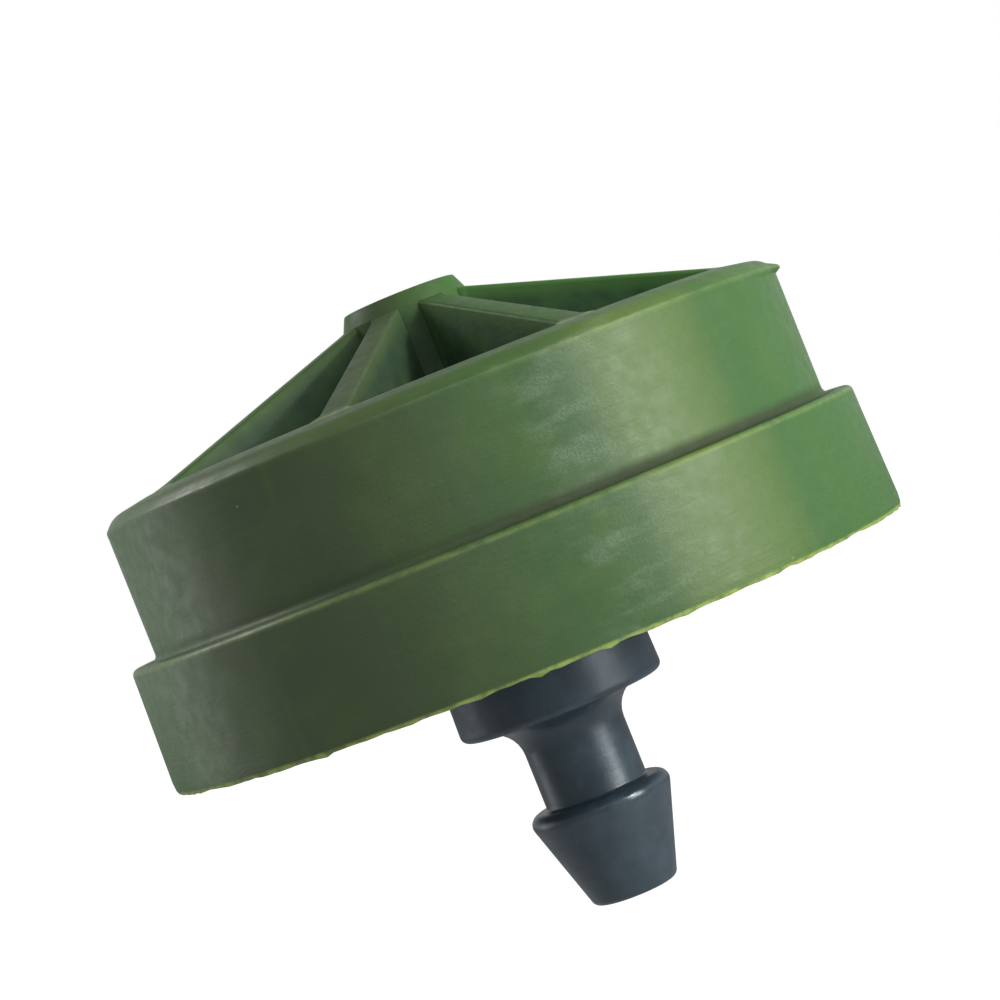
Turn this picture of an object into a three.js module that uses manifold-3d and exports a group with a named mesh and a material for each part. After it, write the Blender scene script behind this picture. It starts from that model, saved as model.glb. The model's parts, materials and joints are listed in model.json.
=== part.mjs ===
// Pressure-compensating button dripper, punched into the wall of an irrigation hose.
// Millimetres, +Z from the hose towards the outlet. The origin is the centre of the flange's
// underside, the face that seats on the outside of the hose.
import * as THREE from 'three';
import { mergeVertices } from 'three/addons/utils/BufferGeometryUtils.js';
import Module from 'manifold-3d';

const wasm = await Module();
wasm.setup();

// ---- Driving dimensions -------------------------------------------------------------------
const SEGMENTS = 48; // flats round every turned surface
const ARC_STEPS = 4; // flats along every rounded corner
const FIT_GAP = 0.05; // axial gap between seated faces
const SLIDE_GAP = 0.1; // radial gap between nested walls
const EDGE_BREAK = 0.12; // chamfer on moulded edges

// Barb and flange, sized for a 3 mm punched hole
const STEM_R = 1.65;
const INLET_R = 0.8;
const BARB_R = 2.3;
const BARB_TOP_Z = -2.86;
const BARB_BAND_Z = -3.2; // lower end of the barb's widest band
const BARB_CORNER = 0.16;
const TIP_R = 1.35;
const TIP_Z = -6.17;
const FLANGE_R = 3.33;
const FLANGE_CORNER = 0.25;
const STEM_FILLET = 0.85;

// Cover
const SKIRT_BOTTOM_Z = 2.05;
const SKIRT_R = 12;
const SKIRT_TOP_R = 11.9;
const SKIRT_BORE_R = 11;
const LEDGE_Z = 5.93;
const LEDGE_CORNER = 0.25;
const RING_R = 11.13;
const ROOT_FILLET = 0.25;
const RIM_TOP_Z = 10.7;
const SHOULDER_WIDTH = 0.95;
const SHOULDER_HEIGHT = 0.88;
const RIM_INNER_R = 9.62;
const POCKET_FLOOR_R = 9.45;
const POCKET_FLOOR_Z = 7.5;
const HUB_FOOT_R = 2.2;
const HUB_NECK_R = 2.08;
const HUB_NECK_Z = 13.16;
const HUB_TOP_R = 1.81;
const HUB_TOP_Z = 13.65;
const OUTLET_R = 0.6;
const RIB_COUNT = 8;
const RIB_THICKNESS = 1.05;
const RIB_SLOPE = 0.32; // fall of a rib's top edge for each millimetre outwards
const RIB_INNER_R = 1.2;
const RIB_OUTER_R = 10;
const RIB_EMBED = 0.2; // how far a rib sinks into the web below it

// Inner stack, from the base floor up to the cover's web
const BASE_UNDERSIDE_Z = 2.35;
const BASE_FLOOR_Z = 3.55;
const INSERT_THICKNESS = 1.4;
const DIAPHRAGM_THICKNESS = 0.75;
const DIAPHRAGM_LIFT = 0.35; // travel from its land up to the regulating seat
const SEAT_HEIGHT = 0.34; // regulating seat below the cover's web
const SEAT_R = 1.7;
const INSERT_BOTTOM_Z = BASE_FLOOR_Z + FIT_GAP;
const INSERT_TOP_Z = INSERT_BOTTOM_Z + INSERT_THICKNESS;
const DIAPHRAGM_BOTTOM_Z = INSERT_TOP_Z + FIT_GAP;
const DIAPHRAGM_TOP_Z = DIAPHRAGM_BOTTOM_Z + DIAPHRAGM_THICKNESS;
const SEAT_Z = DIAPHRAGM_TOP_Z + DIAPHRAGM_LIFT + FIT_GAP;
const WEB_UNDERSIDE_Z = SEAT_Z + SEAT_HEIGHT;

// Radii of the nested walls, from the skirt inwards
const BASE_RIM_R = SKIRT_BORE_R - 0.15;
const SNAP_BEAD_R = SKIRT_BORE_R - 0.04;
const SNAP_GROOVE_R = SKIRT_BORE_R + 0.12;
const SNAP_Z = 3.1;
const SNAP_HALF_HEIGHT = 0.3;
const PLUG_BORE_R = 10.2;
const COVER_STEP_Z = 4.9;
const SPIGOT_R = PLUG_BORE_R - SLIDE_GAP;
const SPIGOT_BORE_R = 9.4;
const SPIGOT_TOP_Z = 5.6;
const INSERT_R = SPIGOT_BORE_R - SLIDE_GAP;
const CLAMP_OUTER_R = INSERT_R - SLIDE_GAP;
const CLAMP_INNER_R = 8.5;
const DIAPHRAGM_R = 7.8;

// Coring groove under the base, and the pool over its inlet
const CORING_INNER_R = 5;
const CORING_OUTER_R = 9;
const CORING_DEPTH = 0.3;
const POOL_R = 2.2;
const POOL_DEPTH = 0.4;

// Flow path moulded into the insert
const RECESS_R = 6.8;
const RECESS_DEPTH = 0.3;
const CHANNEL_DEPTH = 0.55;
const CHANNEL_WIDTH = 0.55;
const FILTER_SLOTS = 12;
const FILTER_SLOT_WIDTH = 0.35;
const GALLERY_INNER_R = 3.5;
const GALLERY_OUTER_R = 4.2;
const LABYRINTH_INNER_R = 5.6;
const LABYRINTH_OUTER_R = 7.1;
const LABYRINTH_LEGS = 24;
const LABYRINTH_SWEEP = 320; // degrees
const PORT_RADIUS_FROM_AXIS = 8.15;
const PORT_R = 0.3;

// ---- Helpers ------------------------------------------------------------------------------
const radians = THREE.MathUtils.degToRad;
const point = (x, y) => new THREE.Vector2(x, y);
const polar = (r, degrees) => point(r * Math.cos(radians(degrees)), r * Math.sin(radians(degrees)));

// Points on an elliptical arc, angles in degrees
function arc(cx, cy, rx, ry, from, to) {
  return Array.from({ length: ARC_STEPS + 1 }, (_, i) => {
    const angle = radians(from + ((to - from) * i) / ARC_STEPS);
    return point(cx + rx * Math.cos(angle), cy + ry * Math.sin(angle));
  });
}

// A closed mesh as a solid, with shared vertices merged and flat triangles dropped
function toSolid(geometry) {
  const bare = geometry.clone();
  bare.deleteAttribute('normal');
  bare.deleteAttribute('uv');
  const merged = mergeVertices(bare, 1e-5);
  const index = Array.from(merged.index.array);
  const kept = [];
  for (let i = 0; i < index.length; i += 3) {
    const [a, b, c] = index.slice(i, i + 3);
    if (a !== b && b !== c && a !== c) kept.push(a, b, c);
  }
  const vertProperties = new Float32Array(merged.attributes.position.array);
  const triVerts = new Uint32Array(kept);
  return new wasm.Manifold(new wasm.Mesh({ numProp: 3, vertProperties, triVerts }));
}

function toGeometry(solid) {
  const { vertProperties, triVerts } = solid.getMesh();
  const geometry = new THREE.BufferGeometry();
  geometry.setAttribute('position', new THREE.BufferAttribute(vertProperties, 3));
  geometry.setIndex(new THREE.BufferAttribute(triVerts, 1));
  geometry.computeVertexNormals();
  return geometry;
}

// A profile of (radius, height) points turned round the Z axis; the outside runs upwards
const turned = (profile) => new THREE.LatheGeometry(profile, SEGMENTS).rotateX(Math.PI / 2);
const closed = (profile) => [...profile, profile[0].clone()];

// A flat outline raised from height low by the given depth
function raised(outline, low, depth) {
  const geometry = new THREE.ExtrudeGeometry(new THREE.Shape(outline), { depth, bevelEnabled: false });
  return geometry.translate(0, 0, low);
}

// Both sides of a channel of constant width along a path, with mitred corners
function channelOutline(path, width) {
  const side = (sign) => path.map((here, i) => {
    const before = path[Math.max(i - 1, 0)];
    const after = path[Math.min(i + 1, path.length - 1)];
    const arriving = (i === 0 ? after.clone().sub(here) : here.clone().sub(before)).normalize();
    const leaving = (i === path.length - 1 ? arriving.clone() : after.clone().sub(here)).normalize();
    const bisector = arriving.clone().add(leaving).normalize();
    const reach = (sign * width) / 2 / Math.max(bisector.dot(arriving), 0.5);
    return point(here.x - bisector.y * reach, here.y + bisector.x * reach);
  });
  return [...side(-1), ...side(1).reverse()];
}

function plastic(color, roughness) {
  return new THREE.MeshStandardMaterial({ color, roughness, metalness: 0 });
}

function part(name, geometry, material) {
  const mesh = new THREE.Mesh(geometry, material);
  mesh.name = name;
  return mesh;
}

// ---- Inlet base: barb, flange, floor and spigot -----------------------------------------------
function inletBase() {
  const barbCornerR = BARB_R - BARB_CORNER;
  const profile = [
    point(INLET_R, TIP_Z),
    point(TIP_R - EDGE_BREAK, TIP_Z),
    point(TIP_R, TIP_Z + EDGE_BREAK),
    point(BARB_R, BARB_BAND_Z),
    ...arc(barbCornerR, BARB_TOP_Z - BARB_CORNER, BARB_CORNER, BARB_CORNER, 0, 90),
    point(STEM_R, BARB_TOP_Z),
    ...arc(STEM_R + STEM_FILLET, -STEM_FILLET, STEM_FILLET, STEM_FILLET, 180, 90),
    ...arc(FLANGE_R - FLANGE_CORNER, FLANGE_CORNER, FLANGE_CORNER, FLANGE_CORNER, 270, 360),
    point(FLANGE_R, BASE_UNDERSIDE_Z),
    point(CORING_INNER_R, BASE_UNDERSIDE_Z),
    point(CORING_INNER_R, BASE_UNDERSIDE_Z + CORING_DEPTH),
    point(CORING_OUTER_R, BASE_UNDERSIDE_Z + CORING_DEPTH),
    point(CORING_OUTER_R, BASE_UNDERSIDE_Z),
    point(BASE_RIM_R - EDGE_BREAK, BASE_UNDERSIDE_Z),
    point(BASE_RIM_R, BASE_UNDERSIDE_Z + EDGE_BREAK),
    point(BASE_RIM_R, SNAP_Z - SNAP_HALF_HEIGHT),
    point(SNAP_BEAD_R, SNAP_Z),
    point(BASE_RIM_R, SNAP_Z + SNAP_HALF_HEIGHT),
    point(BASE_RIM_R, COVER_STEP_Z - FIT_GAP),
    point(SPIGOT_R, COVER_STEP_Z - FIT_GAP),
    point(SPIGOT_R, SPIGOT_TOP_Z - EDGE_BREAK),
    point(SPIGOT_R - EDGE_BREAK, SPIGOT_TOP_Z),
    point(SPIGOT_BORE_R, SPIGOT_TOP_Z),
    point(SPIGOT_BORE_R, BASE_FLOOR_Z),
    point(POOL_R, BASE_FLOOR_Z),
    point(POOL_R, BASE_FLOOR_Z - POOL_DEPTH),
    point(INLET_R, BASE_FLOOR_Z - POOL_DEPTH),
  ];
  return part('inlet_base', turned(closed(profile)), plastic(0x24282d, 0.42));
}

// ---- Flow-path insert: inlet filter slots, gallery and labyrinth on its underside --------------
function labyrinthPath() {
  const step = LABYRINTH_SWEEP / LABYRINTH_LEGS;
  const legs = Array.from({ length: LABYRINTH_LEGS + 1 }, (_, i) =>
    polar(i % 2 ? LABYRINTH_OUTER_R : LABYRINTH_INNER_R, i * step));
  return [polar((GALLERY_INNER_R + GALLERY_OUTER_R) / 2, 0), ...legs,
    polar(PORT_RADIUS_FROM_AXIS, LABYRINTH_SWEEP)];
}

function flowPathInsert() {
  const recessZ = INSERT_TOP_Z - RECESS_DEPTH;
  let solid = toSolid(turned(closed([
    point(INLET_R, INSERT_BOTTOM_Z),
    point(INSERT_R, INSERT_BOTTOM_Z),
    point(INSERT_R, INSERT_TOP_Z),
    point(RECESS_R, INSERT_TOP_Z),
    point(RECESS_R, recessZ),
    point(INLET_R, recessZ),
  ])));
  const cutBottom = INSERT_BOTTOM_Z - CHANNEL_DEPTH;
  const cutTop = INSERT_BOTTOM_Z + CHANNEL_DEPTH;
  const ringCut = (inner, outer) => turned(closed([
    point(inner, cutBottom), point(outer, cutBottom), point(outer, cutTop), point(inner, cutTop),
  ]));
  const cuts = [
    ringCut(INLET_R / 2, POOL_R),
    ringCut(GALLERY_INNER_R, GALLERY_OUTER_R),
    raised(channelOutline(labyrinthPath(), CHANNEL_WIDTH), cutBottom, cutTop - cutBottom),
  ];
  for (let i = 0; i < FILTER_SLOTS; i += 1) {
    const angle = ((i + 0.5) * 360) / FILTER_SLOTS;
    const slot = [polar(INLET_R, angle), polar((GALLERY_INNER_R + GALLERY_OUTER_R) / 2, angle)];
    cuts.push(raised(channelOutline(slot, FILTER_SLOT_WIDTH), cutBottom, cutTop - cutBottom));
  }
  const port = new THREE.CylinderGeometry(PORT_R, PORT_R, 2 * INSERT_THICKNESS, 12).rotateX(Math.PI / 2);
  const portPlace = polar(PORT_RADIUS_FROM_AXIS, LABYRINTH_SWEEP);
  cuts.push(port.translate(portPlace.x, portPlace.y, INSERT_TOP_Z));
  for (const cut of cuts) solid = solid.subtract(toSolid(cut));
  return part('flow_path_insert', toGeometry(solid), plastic(0xd9d6c8, 0.5));
}

// ---- Silicone diaphragm -----------------------------------------------------------------------
function diaphragm() {
  const profile = [
    point(0, DIAPHRAGM_BOTTOM_Z),
    point(DIAPHRAGM_R - EDGE_BREAK, DIAPHRAGM_BOTTOM_Z),
    point(DIAPHRAGM_R, DIAPHRAGM_BOTTOM_Z + EDGE_BREAK),
    point(DIAPHRAGM_R, DIAPHRAGM_TOP_Z - EDGE_BREAK),
    point(DIAPHRAGM_R - EDGE_BREAK, DIAPHRAGM_TOP_Z),
    point(0, DIAPHRAGM_TOP_Z),
  ];
  return part('diaphragm', toGeometry(toSolid(turned(profile))), plastic(0x8d8a80, 0.55));
}

// ---- Cover: skirt, ring, web, hub with the outlet, and radial ribs ------------------------------
function ribTopZ(radius) {
  return HUB_NECK_Z - RIB_SLOPE * (radius - HUB_NECK_R);
}

function rib() {
  const footZ = POCKET_FLOOR_Z - RIB_EMBED;
  const side = [
    point(RIB_INNER_R, footZ),
    point(RIB_OUTER_R, footZ),
    point(RIB_OUTER_R, ribTopZ(RIB_OUTER_R)),
    point(RIB_INNER_R, ribTopZ(RIB_INNER_R)),
  ];
  return raised(side, -RIB_THICKNESS / 2, RIB_THICKNESS).rotateX(Math.PI / 2);
}

function cover() {
  const profile = [
    point(SKIRT_BORE_R + EDGE_BREAK, SKIRT_BOTTOM_Z),
    point(SKIRT_R - EDGE_BREAK, SKIRT_BOTTOM_Z),
    point(SKIRT_R, SKIRT_BOTTOM_Z + EDGE_BREAK),
    ...arc(SKIRT_TOP_R - LEDGE_CORNER, LEDGE_Z - LEDGE_CORNER, LEDGE_CORNER, LEDGE_CORNER, 0, 90),
    ...arc(RING_R + ROOT_FILLET, LEDGE_Z + ROOT_FILLET, ROOT_FILLET, ROOT_FILLET, 270, 180),
    ...arc(RING_R - SHOULDER_WIDTH, RIM_TOP_Z - SHOULDER_HEIGHT, SHOULDER_WIDTH, SHOULDER_HEIGHT, 0, 90),
    point(RIM_INNER_R + EDGE_BREAK, RIM_TOP_Z),
    point(RIM_INNER_R, RIM_TOP_Z - EDGE_BREAK),
    point(POCKET_FLOOR_R, POCKET_FLOOR_Z),
    point(HUB_FOOT_R, POCKET_FLOOR_Z),
    point(HUB_NECK_R, HUB_NECK_Z),
    point(HUB_TOP_R, HUB_TOP_Z),
    point(OUTLET_R, HUB_TOP_Z),
    point(OUTLET_R, SEAT_Z),
    point(SEAT_R, SEAT_Z),
    point(SEAT_R, WEB_UNDERSIDE_Z),
    point(CLAMP_INNER_R, WEB_UNDERSIDE_Z),
    point(CLAMP_INNER_R, INSERT_TOP_Z + FIT_GAP),
    point(CLAMP_OUTER_R, INSERT_TOP_Z + FIT_GAP),
    point(CLAMP_OUTER_R, WEB_UNDERSIDE_Z),
    point(PLUG_BORE_R, WEB_UNDERSIDE_Z),
    point(PLUG_BORE_R, COVER_STEP_Z),
    point(SKIRT_BORE_R, COVER_STEP_Z),
    point(SKIRT_BORE_R, SNAP_Z + SNAP_HALF_HEIGHT),
    point(SNAP_GROOVE_R, SNAP_Z),
    point(SKIRT_BORE_R, SNAP_Z - SNAP_HALF_HEIGHT),
    point(SKIRT_BORE_R, SKIRT_BOTTOM_Z + EDGE_BREAK),
  ];
  let solid = toSolid(turned(closed(profile)));
  for (let i = 0; i < RIB_COUNT; i += 1) {
    solid = solid.add(toSolid(rib().rotateZ((i * 2 * Math.PI) / RIB_COUNT)));
  }
  return part('cover', toGeometry(solid), plastic(0x4c6b35, 0.5));
}

const dripper = new THREE.Group();
dripper.add(inletBase(), flowPathInsert(), diaphragm(), cover());

export default dripper;
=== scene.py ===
"""Button dripper: detailed pieces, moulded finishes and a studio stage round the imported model."""

import json
import math

import bpy
from bpy.props import FloatProperty, FloatVectorProperty, IntProperty, PointerProperty
from mathutils import Matrix, Vector


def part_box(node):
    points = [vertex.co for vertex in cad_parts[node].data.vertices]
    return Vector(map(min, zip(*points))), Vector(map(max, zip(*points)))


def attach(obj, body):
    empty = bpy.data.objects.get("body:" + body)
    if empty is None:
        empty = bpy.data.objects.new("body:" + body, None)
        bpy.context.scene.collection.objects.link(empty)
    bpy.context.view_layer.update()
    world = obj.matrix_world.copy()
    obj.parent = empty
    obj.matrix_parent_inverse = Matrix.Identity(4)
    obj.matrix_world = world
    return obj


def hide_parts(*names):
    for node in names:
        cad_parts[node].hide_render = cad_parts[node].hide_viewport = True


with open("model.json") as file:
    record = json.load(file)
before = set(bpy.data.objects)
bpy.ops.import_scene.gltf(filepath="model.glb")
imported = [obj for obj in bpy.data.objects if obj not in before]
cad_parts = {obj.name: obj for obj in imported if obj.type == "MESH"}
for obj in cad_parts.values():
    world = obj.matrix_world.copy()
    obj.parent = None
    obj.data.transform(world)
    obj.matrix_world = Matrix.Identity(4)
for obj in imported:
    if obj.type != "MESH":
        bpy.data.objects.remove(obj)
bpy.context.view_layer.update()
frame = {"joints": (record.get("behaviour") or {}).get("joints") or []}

bl_info = {
    "name": "Button Dripper",
    "version": (1, 0, 0),
    "blender": (4, 5, 0),
    "location": "View3D > Sidebar > Dripper",
    "description": "Builds the cover, base, insert and diaphragm of a button dripper, and its stage",
    "category": "Object",
}

MM = 0.001
COVER_LOW, COVER_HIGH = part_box("cover")
BASE_LOW, BASE_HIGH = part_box("inlet_base")
INSERT_LOW, INSERT_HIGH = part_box("flow_path_insert")
DISC_LOW, DISC_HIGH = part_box("diaphragm")
BASE_FLOOR = 3.55  # millimetres from the flange's seat up to the floor inside the base
SEAT_GAP = INSERT_LOW.z - BASE_FLOOR * MM  # play between the stacked faces, above that floor
JOINTS = {joint["name"]: joint for joint in frame["joints"]}
DISC_TRAVEL = JOINTS["diaphragm_lift"]["range_m"][1]

FLATS = 256  # flats round every turned piece
ARC_STEP = math.radians(12)  # turn between the flats of a rounded corner
WELD = 0.0005 * MM  # distance under which vertices are one
HAIR = 0.005 * MM  # kept between a piece and the model's box
CREASE = math.radians(30)  # sharpest turn that is shaded smooth

# The snap between cover and base, in millimetres
SNAP_HEIGHT, SNAP_HALF = 3.1, 0.3  # the bead's middle, and from there to its end
SNAP_PLAY = 0.04  # between the bead and the cover's bore
SNAP_GROOVE = 0.12  # depth of the groove that faces the bead


# ---- Sizes and colours that a user may change ---------------------------------------------

def length(name, description, millimetres):
    return FloatProperty(name=name, description=description, default=millimetres * MM,
                         subtype="DISTANCE", unit="LENGTH", precision=5)


def colour(name, description, rgb):
    return FloatVectorProperty(name=name, description=description, default=rgb, size=3,
                               subtype="COLOR", min=0, max=1)


def angle(name, description, degrees):
    return FloatProperty(name=name, description=description, default=math.radians(degrees),
                         subtype="ANGLE", unit="ROTATION")


class CoverSizes(bpy.types.PropertyGroup):
    skirt_top_radius: length("Skirt top radius", "Outer radius of the skirt at its ledge", 11.89)
    ledge_height: length("Ledge height", "Height of the ledge above the flange's seat", 5.98)
    ring_radius: length("Ring radius", "Outer radius of the ring above the ledge", 11.03)
    rim_height: length("Rim height", "Height of the ring's top", 10.7)
    shoulder: length("Shoulder", "From the shoulder's lower edge up to the ring's top", 0.6)
    rim_inner_radius: length("Rim inner radius", "Radius of the pockets' outer wall", 9.62)
    pocket_floor: length("Pocket floor", "Height of the floor between the ribs", 7.5)
    hub_foot_radius: length("Hub foot radius", "Hub radius at the pocket floor", 2.2)
    hub_neck_radius: length("Hub neck radius", "Hub radius where the ribs meet it", 2.03)
    hub_neck_height: length("Hub neck height", "Height where the ribs meet the hub", 13.16)
    hub_top_radius: length("Hub top radius", "Radius of the hub's flat top", 1.81)
    outlet_radius: length("Outlet radius", "Radius of the outlet bore", 0.6)
    rib_thickness: length("Rib thickness", "Thickness of each rib at its foot, by the rim", 1.03)
    rib_count: IntProperty(name="Ribs", description="Number of radial ribs", default=8, min=3)


class BaseSizes(bpy.types.PropertyGroup):
    bore_radius: length("Inlet radius", "Radius of the inlet bore", 0.8)
    tip_radius: length("Tip radius", "Radius of the barb's tip", 1.36)
    barb_corner_radius: length("Barb radius", "Radius of the barb before its edge is rounded", 2.4)
    barb_rounding: length("Barb rounding", "Rounding of the barb's widest edge", 0.34)
    barb_top: length("Barb top", "Height of the barb's shoulder", -2.88)
    stem_radius: length("Stem radius", "Radius of the stem between barb and flange", 1.65)
    stem_fillet: length("Stem fillet", "Fillet between the stem and the flange", 1.0)
    flange_radius: length("Flange radius", "Radius of the flange that seats on the hose", 3.33)
    underside: length("Underside", "Height of the base's underside", 2.35)
    floor: length("Floor", "Height of the floor inside the base", BASE_FLOOR)


class DripperColours(bpy.types.PropertyGroup):
    cover: colour("Cover", "Olive green of the cover", (0.044, 0.096, 0.032))
    # Painted light: this purer, lighter green brightens the cover's sides right and left of the camera.
    cover_side_light: colour("Cover, fresh", "Purer green of the cover's sides", (0.044, 0.122, 0.03))
    # Also used for painted light: a pale highlight band right of the camera and a paler band on the
    # shoulder.
    cover_pale_and_light: colour("Cover, pale", "Yellower flow marks in the cover", (0.085, 0.145, 0.03))
    # Painted shade: this duller green darkens the cover's side left of the camera; it also tints the
    # random mottle.
    cover_grey_and_shade: colour("Cover, grey", "Duller green of the cover's shaded side", (0.052, 0.078, 0.036))
    # Painted shade: this darker green darkens the pockets between the ribs.
    pocket_shade: colour("Pockets", "Darker green down in the pockets", (0.022, 0.046, 0.03))
    # Painted shade: this dark colour darkens the crease where the ring meets the ledge.
    crease_shade: colour("Grime", "Dirt in the corner over the ledge", (0.03, 0.04, 0.018))
    # Real flash on the skirt's lower edge; the same pale colour also paints highlights along the ledge,
    # the rim's inner edge and the shoulder's lower edge.
    flash: colour("Flash", "Thin flash along the cover's edges", (0.3, 0.4, 0.1))
    scuff: colour("Scuffs", "Whitish rubs on the plastics", (0.3, 0.36, 0.27))
    base: colour("Base", "Blue-black of the base", (0.023, 0.037, 0.048))
    insert: colour("Insert", "Natural acetal of the insert", (0.62, 0.6, 0.5))
    silicone: colour("Silicone", "Milky silicone of the diaphragm", (0.42, 0.4, 0.35))


class StageSettings(bpy.types.PropertyGroup):
    azimuth: angle("Azimuth", "Direction of the camera round the dripper", 18)
    lean: angle("Lean", "How far the dripper leans in the picture", 21.85)
    distance: length("Distance", "From the dripper's axis to the camera", 90.7)
    eye_height: length("Eye height", "Camera above the skirt's lower edge", 5.57)
    aim_right: length("Aim right", "Aim point right of the axis", 0.57)
    aim_height: length("Aim height", "Aim point above the skirt's lower edge", 4.58)
    frame_width: length("Frame width", "Width seen at the dripper's axis", 30.96)
    floor_drop: length("Floor drop", "Floor below the barb's tip", 40)


# ---- Modelling helpers ---------------------------------------------------------------------

def clear_selection():
    if bpy.context.object and bpy.context.object.mode != "OBJECT":
        bpy.ops.object.mode_set(mode="OBJECT")
    bpy.ops.object.select_all(action="DESELECT")


def make_active(piece):
    clear_selection()
    piece.select_set(True)
    bpy.context.view_layer.objects.active = piece


def named(name):
    """The primitive just added, given its name, with its place moved into its mesh."""
    piece = bpy.context.object
    piece.name = piece.data.name = name
    bpy.ops.object.transform_apply(location=True, rotation=True, scale=True)
    return piece


def edit(mode="VERT"):
    bpy.ops.object.mode_set(mode="EDIT")
    bpy.ops.mesh.select_mode(type=mode)
    bpy.ops.mesh.select_all(action="DESELECT")


def pick(piece, kind, test):
    """In edit mode, selects only the vertices, edges or faces whose element passes test."""
    bpy.ops.mesh.select_mode(type={"vertices": "VERT", "edges": "EDGE", "polygons": "FACE"}[kind])
    bpy.ops.mesh.select_all(action="DESELECT")
    bpy.ops.object.mode_set(mode="OBJECT")
    for element in getattr(piece.data, kind):
        element.select = bool(test(element))
    bpy.ops.object.mode_set(mode="EDIT")


def rounded(corners):
    """Profile points from (radius, height, rounding) corners of a closed outline."""
    points = []
    for i, (x, z, rounding) in enumerate(corners):
        here = Vector((x, z))
        if not rounding:
            points.append(here)
            continue
        back = Vector(corners[i - 1][:2]) - here
        ahead = Vector(corners[(i + 1) % len(corners)][:2]) - here
        half = back.angle(ahead) / 2
        reach = rounding / math.tan(half)
        centre = here + (back.normalized() + ahead.normalized()).normalized() * rounding / math.sin(half)
        start = here + back.normalized() * reach - centre
        turn = -start.angle_signed(here + ahead.normalized() * reach - centre)
        steps = max(2, math.ceil(abs(turn) / ARC_STEP))
        for k in range(steps + 1):
            spoke = Matrix.Rotation(turn * k / steps, 2) @ start
            points.append(centre + spoke)
    return points


def turned(name, profile, flats=FLATS):
    """A ring turned round Z: each circle of the profile is extruded from the one before."""
    clear_selection()
    bpy.ops.mesh.primitive_circle_add(vertices=flats, radius=profile[0].x,
                                      location=(0, 0, profile[0].y))
    piece = named(name)
    edit("EDGE")
    bpy.ops.mesh.select_all(action="SELECT")
    for before, after in zip(profile, profile[1:]):
        rise = {"value": (0, 0, after.y - before.y)}
        bpy.ops.mesh.extrude_edges_move(TRANSFORM_OT_translate=rise)
        scale = after.x / before.x
        bpy.ops.transform.resize(value=(scale, scale, 1), center_override=(0, 0, after.y))
    bpy.ops.mesh.select_all(action="DESELECT")
    bpy.ops.mesh.select_non_manifold(extend=False, use_wire=False, use_multi_face=False,
                                     use_non_contiguous=False, use_verts=False)
    bpy.ops.mesh.bridge_edge_loops()
    bpy.ops.mesh.select_all(action="SELECT")
    bpy.ops.mesh.normals_make_consistent(inside=False)
    bpy.ops.object.mode_set(mode="OBJECT")
    return piece


def apply_boolean(piece, tool, operation):
    """Joins or cuts piece with tool, which is used up."""
    make_active(piece)
    bpy.ops.object.modifier_add(type="BOOLEAN")
    cut = piece.modifiers[-1]
    cut.object, cut.operation, cut.solver = tool, operation, "MANIFOLD"
    bpy.ops.object.modifier_apply(modifier=cut.name)
    mesh = tool.data
    bpy.data.objects.remove(tool)
    bpy.data.meshes.remove(mesh)


def copied_round(piece, count):
    """piece and its copies turned evenly round Z, joined as one."""
    copies = [piece]
    for i in range(1, count):
        make_active(piece)
        bpy.ops.object.duplicate()
        copy = bpy.context.object
        bpy.ops.transform.rotate(value=-2 * math.pi * i / count, orient_axis="Z",
                                 center_override=(0, 0, 0))
        bpy.ops.object.transform_apply(location=True, rotation=True, scale=True)
        copies.append(copy)
    clear_selection()
    for copy in copies:
        copy.select_set(True)
    bpy.context.view_layer.objects.active = piece
    bpy.ops.object.join()
    return piece


def finish_piece(piece, material, body, slot, *nodes):
    """Welds, smooths and dresses a piece, and ties it to the frame."""
    make_active(piece)
    edit()
    bpy.ops.mesh.select_all(action="SELECT")
    bpy.ops.mesh.remove_doubles(threshold=WELD)
    bpy.ops.object.mode_set(mode="OBJECT")
    bpy.ops.object.shade_smooth_by_angle(angle=CREASE)
    piece.data.materials.clear()
    piece.data.materials.append(material)
    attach(piece, body)
    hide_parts(*nodes)


# ---- Material helpers ----------------------------------------------------------------------

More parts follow.
